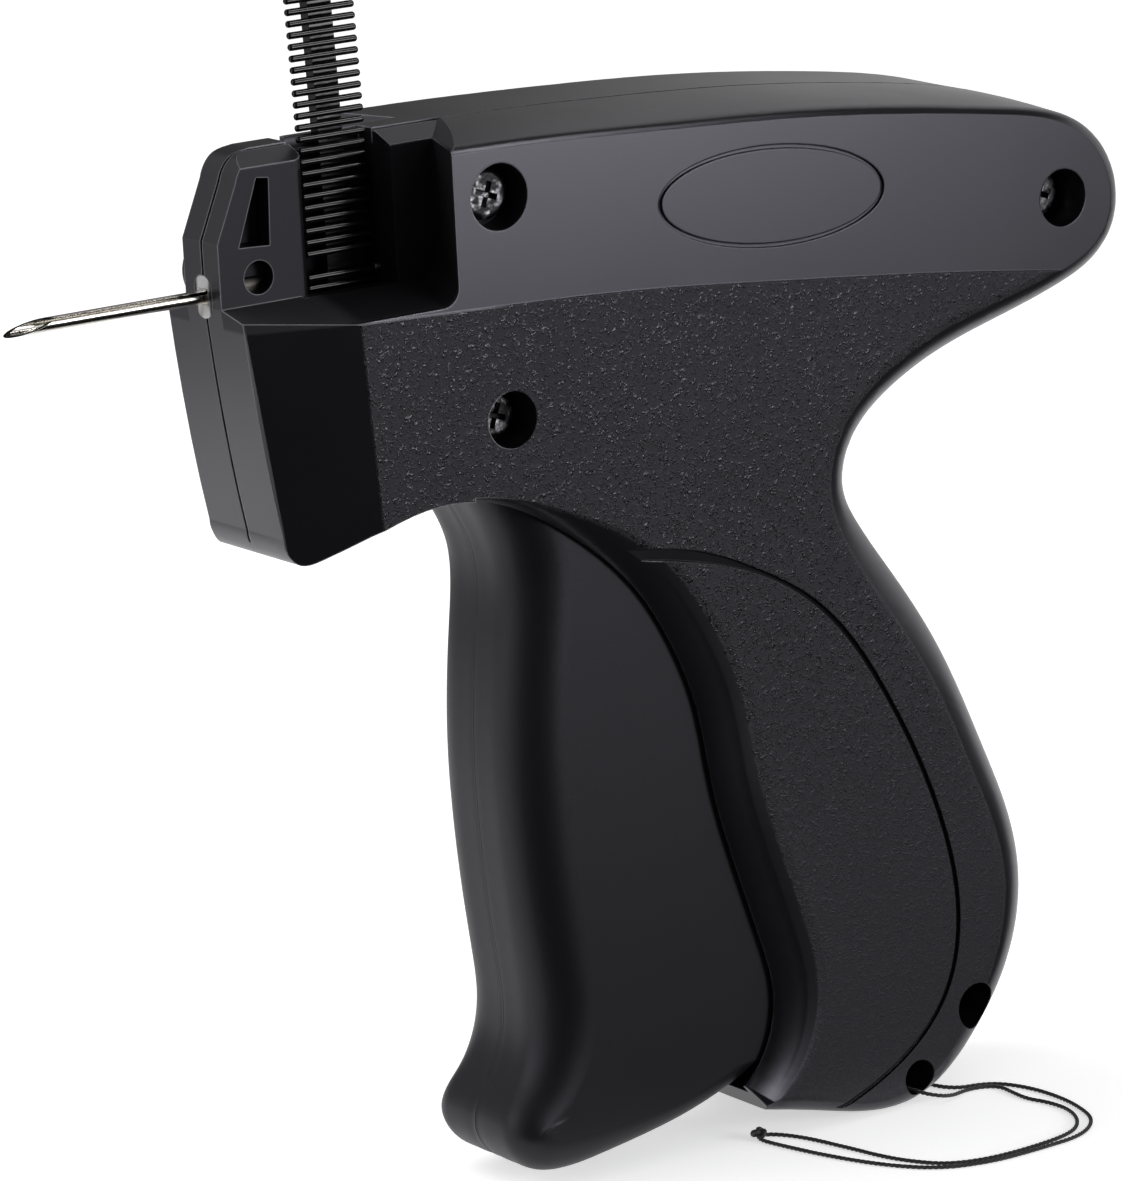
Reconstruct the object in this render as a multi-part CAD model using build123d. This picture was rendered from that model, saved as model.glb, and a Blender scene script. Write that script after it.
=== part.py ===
"""Garment tag attacher: a hand tool that pushes the T-bar of a plastic fastener through a hollow needle.

Millimetres. The origin is on the needle's axis where the needle leaves the nose.
-X is the way the needle points, +Z is up, -Y is the user's left. The shells part on the plane y = 0.
A squeeze turns the trigger, the bell crank follows, and the slider pushes the ejector rod through the needle.
"""
from build123d import *
import math
import os

# ---- casing ----
half_width = 12.0            # middle plane to a side face
wall = 2.2                   # rim wall
side_wall = 2.0
recess_step = 0.2            # how far the smooth upper side lies below the grained side
crown = 1.55                 # fall of the top from the middle plane to its near edge
far_crown_share = -0.12      # the far shell's top stays level, a hair above the seam
blade_half_width = 3.5       # thin upper nose, middle plane to its flat
nose_half_width = 7.4        # front face of the lower nose
ledge_z = -1.0               # step at the foot of the thin nose
ledge_fall = 2.2             # fall of the step towards the side
lip_depth = 2.1              # rounding of the trigger opening, across the gun
groove_depth = 0.5
seam_depth = 0.3             # shadow line where the shells meet, a step of the near one
seam_width = 0.45
slot_rounding = 1.4          # front edge of the strip's slot
cavity_front_x = 28.8
lower_cavity_front_x = 13.0

# ---- screws: place, recess radius, boss radius, recess depth ----
screw_radius = 1.4
screw_head_height = 1.8
thread_clearance = 0.05
screws = {
    "front": (29.9, 7.7, 3.6, 3.0, 4.4),
    "pivot": (30.0, -16.3, 3.1, 3.9, 5.2),
    "rear": (105.6, -3.2, 3.25, 4.2, 6.2),
    "heel": (89.2, -94.3, 2.75, 4.0, 7.6),
}
trigger_pivot = screws["pivot"][:2]
trigger_boss_radius = screws["pivot"][3]

# ---- needle and its seat ----
needle_radius = 0.75
needle_bore = 0.55
needle_shank_half = 0.9      # of the square part in its seat
needle_length = 23.9         # free length
needle_bevel = 5.6           # length of the slanted point
needle_slot = 0.36
base_half_height = 2.3
base_half_width = 1.7
base_length = 9.6
lock_x, lock_z = base_length / 2, 1.8
lock_radius = 1.75
knob_radius = 4.0
knob_thickness = 1.8

# ---- fastener strip ----
tbar_pitch = 1.23
tbar_radius = 0.38
tbar_length = 8.5
slot_front_x = base_length + 1.7
tbar_x = slot_front_x + 1.45 + tbar_length / 2    # middle of the strip
slot_rear_x = tbar_x + tbar_length / 2 + 0.75
tbar_count = 50
lowest_tbar_z = -1.15
bars_left_out = (1, 2)       # the one in the chamber, and the one that has to clear the rod
runner_width = 3.0
runner_offset = 0.5          # runner behind the middle of the bars
runner_near_y = 0.75
runner_far_y = 2.2
runner_bottom_z = -22.4
strip_bow = 0.00075          # forward bend of the free strip, per mm

# ---- trigger ----
trigger_half_width = 9.4
trigger_wall = 2.2
trigger_hub_radius = 7.0
trigger_swing = 15.0         # degrees
web_inner_y = 2.4
web_thickness = 2.0

# ---- bell crank and slider ----
lever_pivot = (58.5, -33.5)
lever_arm = 38.4
lever_half_swing = 32.0      # degrees either side of upright
lever_half_thickness = 2.0
lever_pin_radius = 1.5
drive_pin_radius = 1.25
crank_pin_radius = 1.5
lever_boss_radius = 2.8
slider_half_width = 5.0
slider_bottom_z = -4.5
rod_radius = 0.45
running_clearance = 0.05
fixed_clearance = 0.02
part_clearance = 0.3

# ---- feed ----
wheel_teeth = 16
wheel_width = 3.8
wheel_z = -13.5
tooth_height = 0.75
mesh_depth = 0.25
axle_radius = 0.8
axle_rib_x = tbar_x + wheel_width / 2 + 0.7
axle_rib = 1.8

# ---- return spring ----
spring_x, spring_y = 45.0, 6.0
spring_radius = 2.0
spring_wire = 0.35
spring_turns = 7
rail_near_y = 2.8
rail_top_z = slider_bottom_z - part_clearance
rail_bottom_z = rail_top_z - 1.8
spring_seat_z = -19.4

# ---- lanyard ----
eye_x, eye_z, eye_radius = 80.6, -100.9, 2.1
cord_radius = 0.25
floor_z = -104.2

# ---- worked out from the sizes above ----
lever_ratio = 2 * lever_half_swing / trigger_swing
stroke = 2 * lever_arm * math.sin(math.radians(lever_half_swing))
pivot_gap = math.dist(trigger_pivot, lever_pivot)
pivot_angle = math.degrees(math.atan2(lever_pivot[1] - trigger_pivot[1], lever_pivot[0] - trigger_pivot[0]))
crank_arm = pivot_gap / (lever_ratio - 1)
wheel_pitch_radius = wheel_teeth * tbar_pitch / (2 * math.pi)
wheel_tip_radius = wheel_pitch_radius + 0.22
wheel_y = runner_far_y + wheel_tip_radius - mesh_depth
bar_rear_x = tbar_x + tbar_length / 2


def polar(centre, radius, degrees):
    """point at an angle from +X towards +Z, seen from the near side"""
    a = math.radians(degrees)
    return centre[0] + radius * math.cos(a), centre[1] + radius * math.sin(a)


drive_pin = polar(lever_pivot, lever_arm, 90 - lever_half_swing)
crank_pin = polar(lever_pivot, crank_arm, pivot_angle - lever_half_swing)


# ---- drawing helpers: a side outline is drawn in X and Z, depth counts from y = 0 towards -Y ----
def side_face(curves, depth=0.0):
    return Plane.XZ.offset(depth) * make_face(curves)


def side_polygon(points, depth=0.0):
    return side_face(Polyline(*points, close=True), depth)


def side_prism(face, depth):
    return extrude(face, depth)


def box_between(x0, x1, y0, y1, z0, z1):
    return Pos((x0 + x1) / 2, (y0 + y1) / 2, (z0 + z1) / 2) * Box(x1 - x0, y1 - y0, z1 - z0)


def cylinder_y(x, z, radius, y0, y1):
    return Pos(x, (y0 + y1) / 2, z) * Rot(90, 0, 0) * Cylinder(radius, y1 - y0)


def cylinder_x(y, z, radius, x0, x1):
    return Pos((x0 + x1) / 2, y, z) * Rot(0, 90, 0) * Cylinder(radius, x1 - x0)


def other_half(shape):
    return mirror(shape, Plane.XZ)


def inset_points(rim, inset):
    """rim points moved to the right of the way they run; inset is a function of a rim point"""
    moved = []
    last = len(rim) - 1
    for i, point in enumerate(rim):
        before, after = rim[max(i - 1, 0)], rim[min(i + 1, last)]
        along = Vector(after[0] - before[0], after[1] - before[1]).normalized()
        amount = inset(point)
        moved.append((point[0] + along.Y * amount, point[1] - along.X * amount))
    return moved


def rounded_half(rim, closing, width, crown_share=1.0):
    """one half of a moulding, lofted from y = 0 to its side: each rim point has its own edge radius and crown"""
    sections = []
    for share in (0, 1 / 6, 1 / 3, 1 / 2, 5 / 8, 3 / 4, 5 / 6, 0.9, 0.95, 59 / 60, 1):
        depth = width * share

        def inset(point):
            over = min(point[2], max(0.0, depth - width + point[2]))
            return point[2] - math.sqrt(point[2] ** 2 - over ** 2) + point[3] * crown_share * share ** 2

        points = inset_points(rim, inset)
        outline = Spline(*points) + Polyline(points[-1], *closing(points), points[0])
        sections.append(side_face(outline, depth))
    return loft(sections)


def arm_outline(p, p_radius, q, q_radius):
    """two circles and what a band round them encloses"""
    ends = [Pos(*p) * Circle(p_radius), Pos(*q) * Circle(q_radius)]
    return Plane.XZ * make_hull([edge for end in ends for edge in end.edges()])


def tapered_arm(p, p_radius, q, q_radius, half_thickness):
    return extrude(arm_outline(p, p_radius, q, q_radius), half_thickness, both=True)


# ---- outlines ----
# top, rear and handle back, clockwise: x, z, edge radius, crown
casing_rim = [
    (-20, 14.9, 1.2, crown), (0, 14.9, 1.2, crown), (15, 14.9, 1.2, crown), (30, 14.9, 1.2, crown),
    (52, 14.2, 1.2, 1.9), (70, 13.1, 1.2, 1.9), (88, 11.0, 1.2, 1.8), (98, 9.3, 1.2, 1.55), (104, 7.7, 1.5, 0.95),
    (109.4, 5.2, 2.2, 0.4), (113.4, 1.2, 3.2, 0), (115.1, -3.6, 3.8, 0), (114.2, -8.0, 3.8, 0),
    (111.0, -11.4, 3.6, 0), (106.5, -13.4, 3.4, 0), (98, -15.9, 3.6, 0), (89.5, -18.4, 4, 0), (82.0, -22.0, 4.5, 0), (77.0, -26.6, 5, 0), (75.6, -31.0, 5, 0),
    (77.6, -35.6, 5.5, 0), (83.4, -43.7, 6, 0), (88.6, -52.0, 6, 0), (94.4, -64.8, 6, 0), (97.7, -73.5, 6, 0),
    (98.8, -80.5, 6, 0), (98.0, -87.0, 6, 0), (95.2, -93.0, 5.5, 0), (91.2, -98.0, 5, 0), (86.4, -101.9, 4, 0),
    (81.0, -104.0, 3, 0), (75, -103.9, 2, 0), (67, -102.1, 2, 0), (59, -100.2, 2, 0), (45, -97, 2, 0),
]
nose_front = [(0, -1), (1.0, -10.5), (2.2, -19.0), (3.4, -25.6)]
nose_bottom = [(3.4, -25.6), (3.9, -27.4), (5.0, -28.5), (7.5, -28.0), (10.0, -26.9), (12.7, -25.7), (15.0, -25.0),
               (18.0, -24.35), (21.0, -24.1), (24.6, -24.4)]
nose_top = [(2.6, 11.9), (3.2, 13.3), (4.2, 14.3), (5.6, 14.75), (7.2, 14.95)]
# edge of the trigger opening, from the nose to the foot of the handle: x, z, width of its rounding
lip_rim = [
    (24.6, -24.4, 0.5), (31.0, -26.5, 1.2), (36.5, -29.7, 2.2), (41.5, -33.5, 3.6), (46.4, -38.6, 5.0),
    (50.6, -45.6, 5.8), (53.2, -52.5, 6.2), (54.8, -61.5, 6.4), (57.6, -72.0, 6.4), (60.5, -81.0, 6.4),
    (61.9, -87.4, 6.2), (61.0, -92.4, 5.6), (57.4, -97.0, 4.6),
]
grain_boundary = [(12.0, -3.2), (26.2, -3.8), (48.5, -5.0), (65.8, -6.7), (90.4, -9.4), (103.0, -11.1), (118, -13.2)]
panel_line = [(41.0, -32.6), (46.9, -33.4), (53.0, -34.6), (60.7, -37.8), (69.2, -43.2), (78.5, -55.7), (85.4, -71.6),
              (87.2, -83.4), (85.0, -91.8), (78.5, -98.3), (71.2, -101.7), (64, -104)]
# trigger, from the foot of its rear edge round the toe and up the front: x, z, edge radius, crown
trigger_rim = [
    (58.2, -96.7, 2, 0), (50, -99.7, 2.6, 0), (41, -101.6, 3.4, 0), (34.6, -102.4, 4, 0), (30.9, -101.6, 4, 0),
    (28.7, -99.6, 4, 0), (27.9, -97.2, 4, 0), (28.4, -95.0, 4.4, 0), (30.2, -92.4, 5, 0), (31.9, -89.0, 5.5, 0),
    (32.5, -85.0, 6, 0), (32.2, -80.0, 6, 0), (31.4, -73.0, 6, 0), (30.7, -64.0, 6, 0), (30.5, -57.0, 6, 0),
    (30.9, -48.5, 6, 0), (31.6, -42.0, 6, 0), (32.1, -37.0, 6, 0), (31.8, -33.0, 6, 0), (30.3, -29.0, 5.5, 0),
    (27.9, -25.2, 5, 0), (25.6, -22.0, 4, 0), (23.7, -18.6, 3, 0),
]
trigger_rear = [(26, -14), (35, -14), (37.5, -26), (43.2, -31.6), (46.9, -36.8), (49.3, -41.6), (52.4, -47.0),
                (54.9, -52.6), (56.9, -61.3), (58.3, -65.6), (61.0, -74.5), (63.2, -81.8), (64.5, -87.6), (63.8, -91.4),
                (61.4, -94.6)]


# ---- casing ----
def front_of_casing():
    """everything in front of the nose, under it and in the trigger opening"""
    lip = [(x, z) for x, z, _ in lip_rim]
    outline = Spline(*nose_front) + Spline(*nose_bottom) + Spline(*lip) + Spline(*nose_top)
    outline += Polyline(lip[-1], (60.2, -100.6), (60.2, -115), (-30, -115), (-30, 25), (7.2, 25), nose_top[-1])
    outline += Polyline(nose_top[0], (0, 5.9), nose_front[0])
    return side_prism(side_face(outline), half_width + 1)


def lip_rounding():
    """rounds the edge of the trigger opening towards the side face"""
    sections = []
    for share in (0, 0.25, 0.5, 0.7, 0.85, 0.95, 1.0):
        curve = inset_points(lip_rim, lambda p: -p[2] * (1 - (1 - share ** 1.5) ** (1 / 1.5)))
        outline = Spline(*curve) + Polyline(curve[-1], (curve[-1][0], -115), (curve[0][0], -115), curve[0])
        sections.append(side_face(outline, half_width - lip_depth + lip_depth * share + 0.001))
    return loft(sections)


def nose_facet():
    """slanted face between the front of the lower nose and the side"""
    front = side_polygon([(-10, 3), (-10, -34), (4.8, -34), (-0.45, 3)], nose_half_width)
    side = side_polygon([(-10, 3), (-10, -34), (13.75, -34), (11.5, 3)], half_width)
    beyond = side_polygon([(-10, 3), (-10, -34), (16.5, -34), (15.1, 3)], half_width + 1.4)
    return loft([front, side], ruled=True) + loft([side, beyond], ruled=True)


def nose_recess():
    """room beside the thin nose, open to the side and the top, where the strip stands"""
    plan = Plane.XY.offset(-8) * make_face(Polyline(
        (-5, -blade_half_width), (27.3, -blade_half_width), (23.8, -half_width - 1), (-5, -half_width - 1), close=True))
    side = side_face(Polyline((-5, 22), (-5, -8), (40, -8), (40, 22), close=True))
    fall = ledge_fall / (half_width - blade_half_width)
    deep = half_width + 1
    floor = Plane.YZ.offset(-6) * make_face(Polyline(
        (-blade_half_width, ledge_z), (-deep, ledge_z - fall * (deep - blade_half_width)), (-deep, 22),
        (-blade_half_width, 22), close=True))
    room = extrude(plan, 30) & extrude(floor, 40) & side_prism(side, deep)
    corner = [e for e in room.edges() if e.center().X > 22 and e.center().Z < 0 and e.length > 8]
    return fillet(corner, 1.8)


def nose_top_slope():
    """slanted top of the thin nose, with a facet where it meets the full-width top"""
    profile = Plane.YZ.offset(-6) * make_face(Polyline(
        (0, 14.9), (-blade_half_width, 13.5), (-blade_half_width - 9, 9.9), (-blade_half_width - 9, 20), (0, 20),
        close=True))
    low, side, high = Vector(27.3, -blade_half_width, 13.5), Vector(24.8, -11, 13.4), Vector(30.5, 0, 14.9)
    normal = (side - low).cross(high - low)
    ahead = Plane(origin=low, x_dir=side - low, z_dir=normal if normal.X < 0 else -normal)
    return extrude(profile, 40) & (ahead * Pos(0, 0, 30) * Box(120, 120, 60))


def cavity(depth, inset):
    """room inside the casing, open at the trigger"""
    rim = [point for point in casing_rim if cavity_front_x < point[0]]
    curve = inset_points(rim, lambda p: inset(p) + p[3])
    top = (cavity_front_x, curve[0][1])
    outline = Spline(top, *curve) + Polyline(
        curve[-1], (24.6, -88), (24.6, -22.3), (18, -22.4), (lower_cavity_front_x, -23.5),
        (lower_cavity_front_x, -5.5), (cavity_front_x, -5.5), top)
    return side_prism(side_face(outline), depth)


def toe_room():
    """clears the swing of the trigger's toe over the foot of the handle"""
    reach = max(math.dist(trigger_pivot, point[:2]) for point in trigger_rim) + part_clearance
    swing = cylinder_y(*trigger_pivot, reach, -trigger_half_width - part_clearance, 0)
    return swing & box_between(50, 64, -half_width, 0, -110, -90)


def panel_groove():
    """shallow groove round the hand panel, wide at its top end"""
    def width(point):
        return 1.3 if point[0] < 60 and point[1] > -40 else 0.6
    inner = inset_points(panel_line, width)
    outline = Spline(*panel_line) + Spline(*inner) + Line(panel_line[0], inner[0]) + Line(panel_line[-1], inner[-1])
    return side_prism(side_face(outline, half_width - groove_depth), groove_depth + 1)


def label_groove():
    """bare oval on the smooth side"""
    centre, angle = (65.5, 2.75), -4.4
    ring = Ellipse(15.2, 5.6) - Ellipse(14.75, 5.15)
    face = Plane.XZ.offset(half_width - recess_step - 0.35) * Pos(*centre) * Rot(0, 0, angle) * ring
    return extrude(face, 1)


def seam():
    """narrow step of the near shell along the parting plane, round the back and down the nose"""
    curve = inset_points(casing_rim, lambda p: seam_depth)
    kept = side_face(Spline(*curve) + Polyline(curve[-1], (-30, -60), (-30, curve[0][1]), curve[0]))
    block = side_polygon([(-30, 30), (-30, -120), (130, -120), (130, 30)])
    rim = side_prism(block, seam_width) - side_prism(kept, seam_width)
    return rim + Pos(seam_depth, 0, 0) * (front_of_casing() & box_between(-30, 12, -seam_width, 0, -27, 30))


def casing_block(crown_share=1.0):
    return rounded_half(casing_rim, lambda p: [(p[-1][0], -60), (-20, -60)], half_width, crown_share)


def casing_half(crown_share=1.0):
    """what the two shells have alike, as the near half"""
    body = casing_block(crown_share)
    body -= front_of_casing()
    body -= nose_facet()
    smooth = Spline(*grain_boundary)
    smooth += Polyline(grain_boundary[-1], (118, 25), (-10, 25), (-10, -3.2), grain_boundary[0])
    body -= side_prism(side_face(smooth, half_width - recess_step), 1)
    body -= lip_rounding()
    body -= nose_recess()
    body -= panel_groove()
    inside = cavity(half_width - side_wall, lambda p: wall + 0.2 * p[2])
    inside += cavity(half_width - 4.5, lambda p: wall)
    for x, z, _, boss, _ in screws.values():
        inside -= cylinder_y(x, z, boss, -half_width, 0)
    inside -= cylinder_y(eye_x, eye_z, eye_radius + 1.8, -half_width, 0)
    inside += toe_room()
    inside -= cylinder_y(*lever_pivot, lever_boss_radius, -half_width, -lever_half_thickness - part_clearance)
    inside -= box_between(cavity_front_x - 1, 93, -half_width, -rail_near_y, rail_bottom_z, rail_top_z)
    body -= inside
    body -= cylinder_y(*lever_pivot, lever_pin_radius + fixed_clearance, -half_width + 1.2, 0)
    body -= cylinder_y(eye_x, eye_z, eye_radius, -half_width - 1, 0)
    body -= box_between(slot_front_x, slot_rear_x, -1.2, 0, -6, 20)
    body -= cylinder_x(0, 0, rod_radius + running_clearance, slot_rear_x - 1, cavity_front_x + 1)
    body -= cylinder_x(0, 0, tbar_radius + 0.15, base_length - 1, slot_front_x + 1)
    seat = RectangleRounded(2 * base_half_width, 2 * base_half_height, base_half_width - 0.02)
    body -= extrude(Plane.YZ.offset(-2) * seat, base_length + 2)
    return body


def screw_recesses(x, z, recess, boss, depth):
    hole = cylinder_y(x, z, recess, -half_width - 1, depth - half_width)
    return hole + cylinder_y(x, z, screw_radius + thread_clearance, -half_width, 1)


def slot_mouth():
    """side opening of the strip's slot, with a rounded front edge"""
    foot, top = ledge_z - 0.4, 20
    mouth = box_between(slot_front_x, slot_rear_x, -blade_half_width - 0.5, 0, foot, top)
    corner_x, corner_y = slot_front_x - slot_rounding, slot_rounding - blade_half_width
    edge = box_between(corner_x, slot_front_x + 0.1, -blade_half_width - 0.5, corner_y, foot, top)
    return mouth + (edge - Pos(corner_x, corner_y, 8) * Cylinder(slot_rounding, 40))


def left_housing():
    block = casing_block()
    body = casing_half() - nose_top_slope()
    for x, z, recess, boss, depth in screws.values():
        outer = cylinder_y(x, z, max(boss, recess + 0.7), -half_width + side_wall / 2, depth - half_width + 1.2)
        body += outer & block
    for place in screws.values():
        body -= screw_recesses(*place)
    body -= nose_recess()
    body -= label_groove()
    body -= slot_mouth()
    body -= seam()
    window = side_polygon([(5.2, 12.3), (6.7, 12.1), (6.4, 5.0), (2.6, 5.2)], 0.8)
    body -= side_prism(window, blade_half_width)
    body -= cylinder_y(lock_x, lock_z, lock_radius + running_clearance, -blade_half_width - 1, -base_half_width + 0.2)
    return body


def right_housing():
    body = other_half(casing_half(far_crown_share))
    for x, z, *_ in screws.values():
        body -= cylinder_y(x, z, screw_radius + thread_clearance, -1, half_width - 3.6)
    body -= box_between(slot_front_x, slot_rear_x, -1, runner_far_y + 0.4, -6, 20)
    body -= box_between(slot_front_x, slot_front_x + 1.4, runner_far_y, blade_half_width + 0.5, 14.0, 20)
    body -= box_between(tbar_x - 2.4, tbar_x + 2.9, 0.4, runner_far_y + 0.4, -31, -20)
    body -= cylinder_y(lock_x, lock_z, lock_radius + running_clearance, needle_shank_half + 0.1, blade_half_width + 1)
    body -= cylinder_y(lock_x, lock_z, knob_radius + part_clearance, blade_half_width,
                       blade_half_width + knob_thickness + 2 * part_clearance)
    body -= blade_block(fixed_clearance)
    rib = box_between(axle_rib_x, axle_rib_x + axle_rib, wheel_y - 1.9, wheel_y + 1.9, wheel_z - 1.8, -5.0)
    body += rib
    body -= cylinder_x(wheel_y, wheel_z, axle_radius + fixed_clearance, lower_cavity_front_x - 1.7,
                       axle_rib_x + axle_rib + 0.6)
    return body


# ---- needle ----
def needle_shank(x0, x1):
    """square part that keeps the needle from turning in its seat"""
    return box_between(x0, x1, -needle_shank_half, needle_shank_half, -needle_shank_half, needle_shank_half)


def needle():
    tube = cylinder_x(0, 0, needle_radius, -needle_length, 0)
    tube += needle_shank(0, base_length)
    tube -= cylinder_x(0, 0, needle_bore, -needle_length - 1, base_length + 1)
    slot = box_between(-needle_length - 1, base_length + 1, -needle_slot / 2, needle_slot / 2, 0, needle_radius + 1)
    tube -= Rot(50, 0, 0) * slot
    slant = math.degrees(math.atan2(2 * needle_radius, needle_bevel))
    bevel = Pos(-needle_length, 0, -needle_radius) * Rot(0, -slant, 0) * box_between(-20, 30, -3, 3, 0, 8)
    keep = Rot(35, 0, 0) * bevel
    return tube - keep


def needle_base():
    block = extrude(Plane.YZ.offset(fixed_clearance) * RectangleRounded(
        2 * (base_half_width - fixed_clearance), 2 * (base_half_height - fixed_clearance), base_half_width - 0.05),
        base_length - 2 * fixed_clearance)
    block -= needle_shank(-1, base_length + 1)
    return block - cylinder_y(lock_x, lock_z, lock_radius + running_clearance, needle_shank_half + 0.15, 3)


def needle_lock_knob():
    face = blade_half_width + part_clearance
    knob = cylinder_y(lock_x, lock_z, knob_radius, face, face + knob_thickness)
    knob = fillet(knob.edges().filter_by(GeomType.CIRCLE).sort_by(Axis.Y)[-1:], 0.4)
    knob += cylinder_y(lock_x, lock_z, lock_radius, needle_shank_half + 0.2, face)
    slot = box_between(lock_x - 2.6, lock_x + 2.6, face + knob_thickness - 0.6, face + knob_thickness + 1,
                       lock_z - 0.5, lock_z + 0.5)
    return knob - slot


# ---- strip and cutter ----
def blade_block(grow=0.0):
    return box_between(base_length + 0.6 - grow, slot_front_x, tbar_radius + 0.3 - grow, 3.1 + grow,
                       -2.4 - grow, 2.4 + grow)


def cutter_blade():
    blade = blade_block()
    edge = blade.edges().filter_by(Axis.Z).sort_by(lambda e: e.center().Y - e.center().X)[:1]
    return chamfer(edge, 0.4, 0.7)


def tbar(z, with_neck=True):
    x = tbar_x - strip_bow * max(z, 0) ** 2
    bar = cylinder_x(0, z, tbar_radius, x - tbar_length / 2, x + tbar_length / 2)
    bar = fillet(bar.edges().filter_by(GeomType.CIRCLE), 0.75 * tbar_radius)
    if with_neck:
        bar += box_between(x - 0.5, x + 0.5, 0.1, runner_near_y, z - 0.2, z + 0.2)
    return bar


def fastener_tbars():
    numbers = [n for n in range(-1, tbar_count + 1) if n not in bars_left_out]
    return Compound([tbar(lowest_tbar_z + n * tbar_pitch).solid() for n in numbers])


def fastener_runner():
    top_z = lowest_tbar_z + (tbar_count + 0.4) * tbar_pitch
    steps = 8
    x = tbar_x + runner_offset
    free = [(x - strip_bow * (top_z * i / steps) ** 2, top_z * i / steps) for i in range(steps + 1)]
    left = [(x - runner_width / 2, z) for x, z in free]
    right = [(x + runner_width / 2, z) for x, z in free]
    foot_left = (x - runner_width / 2, runner_bottom_z)
    foot_right = (x + runner_width / 2, runner_bottom_z)
    outline = Spline(*left, tangents=[(0, 1), (-0.09, 1)]) + Spline(*right, tangents=[(0, 1), (-0.09, 1)])
    outline += Line(left[-1], right[-1])
    outline += Polyline(left[0], foot_left, foot_right, right[0])
    plate = extrude(side_face(outline, -runner_near_y), runner_near_y - runner_far_y)
    lowest = math.ceil((runner_bottom_z - wheel_z) / tbar_pitch)
    highest = math.floor(-wheel_z / tbar_pitch)
    for n in range(lowest, highest):
        z = wheel_z + n * tbar_pitch
        plate -= box_between(x - 2, x + 2, runner_far_y - 0.5, runner_far_y + 1, z - 0.43, z + 0.43)
    return plate


# ---- trigger ----
def trigger():
    half = rounded_half(trigger_rim, lambda p: trigger_rear, trigger_half_width)
    inner = inset_points(trigger_rim[1:-4], lambda p: trigger_wall)
    room = Spline(*inner) + Polyline(inner[-1], (44, -34), (80, -34), (80, -97.2), (60, -95), inner[0])
    half -= side_prism(side_face(room), trigger_half_width - trigger_wall)
    body = half + other_half(half)
    body += cylinder_y(*trigger_pivot, trigger_hub_radius, -trigger_half_width, trigger_half_width)
    tail_angle = pivot_angle - trigger_swing / 2
    slot_near = polar(trigger_pivot, math.dist(trigger_pivot, crank_pin) - 0.4, tail_angle)
    slot_far = polar(trigger_pivot, pivot_gap + crank_arm + 0.4, tail_angle)
    web = side_polygon([(34, -38), (44, -42), (50, -46.6), (55, -46.2), (59, -44.3), (61, -47.3), (55, -51.0),
                        (50, -53.5), (46, -62), (34, -70)])
    plate = extrude(web, web_thickness)
    slot_wall = crank_pin_radius + 1.1
    plate += extrude(arm_outline(slot_near, slot_wall, slot_far, slot_wall), web_thickness)
    plate += extrude(arm_outline((56, -48.6), 2.4, slot_far, 2.4), web_thickness)
    slot_radius = crank_pin_radius + 0.3
    plate -= extrude(arm_outline(slot_near, slot_radius, slot_far, slot_radius), web_thickness)
    near_web = Pos(0, -web_inner_y, 0) * plate
    body += near_web
    body += other_half(near_web)
    ear = box_between(33, spring_x + 3, spring_y - 2.6, spring_y + 2.6, spring_seat_z - 2.2, spring_seat_z)
    body += ear
    body -= cylinder_y(*trigger_pivot, trigger_boss_radius + running_clearance, -20, 20)
    return body - pawl_root(fixed_clearance)


def trigger_spring():
    length = rail_bottom_z - spring_seat_z - 2 * spring_wire - 0.1
    path = Helix(length / spring_turns, length, spring_radius)
    coil = sweep(Plane(origin=path @ 0, z_dir=path % 0) * Circle(spring_wire), path=path)
    return Pos(spring_x, spring_y, spring_seat_z + spring_wire + 0.05) * coil


# ---- bell crank and slider ----
def drive_lever():
    upper = tapered_arm(lever_pivot, 5.0, drive_pin, 2.9, lever_half_thickness)
    lower = tapered_arm(lever_pivot, 5.0, crank_pin, 3.0, lever_half_thickness)
    body = upper + lower
    body -= cylinder_y(*lever_pivot, lever_pin_radius + running_clearance, -5, 5)
    body -= cylinder_y(*drive_pin, drive_pin_radius + fixed_clearance, -5, 5)
    body -= cylinder_y(*crank_pin, crank_pin_radius + fixed_clearance, -5, 5)
    return body


def slider():
    x, _ = drive_pin
    front_x = x - stroke_front()
    slot_half = drive_pin_radius + 0.8
    highest_pin = lever_pivot[1] + lever_arm
    low = box_between(front_x, x + 6.6, -slider_half_width, slider_half_width, slider_bottom_z, 3.0)
    tall = box_between(x - slot_half - 1.6, x + slot_half + 1.6, -slider_half_width, slider_half_width,
                       slider_bottom_z, highest_pin + drive_pin_radius + 1.3)
    body = fillet((low + tall).edges().filter_by(Axis.Y), 0.5)
    body -= box_between(x - 6.2, x + 8, -lever_half_thickness - part_clearance, lever_half_thickness + part_clearance,
                        -10, 20)
    body -= box_between(x - slot_half, x + slot_half, -slider_half_width - 1, slider_half_width + 1,
                        drive_pin[1] - drive_pin_radius - 0.3, highest_pin + drive_pin_radius + 0.3)
    return body - cylinder_x(0, 0, rod_radius + fixed_clearance, front_x - 1, x - 6.6)


def stroke_front():
    """from the slider's front to the drive pin, so that it stops just behind the nose"""
    return drive_pin[0] - stroke - cavity_front_x - 2 * part_clearance


def ejector_rod():
    return cylinder_x(0, 0, rod_radius, bar_rear_x + running_clearance, drive_pin[0] - 6.7)


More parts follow.
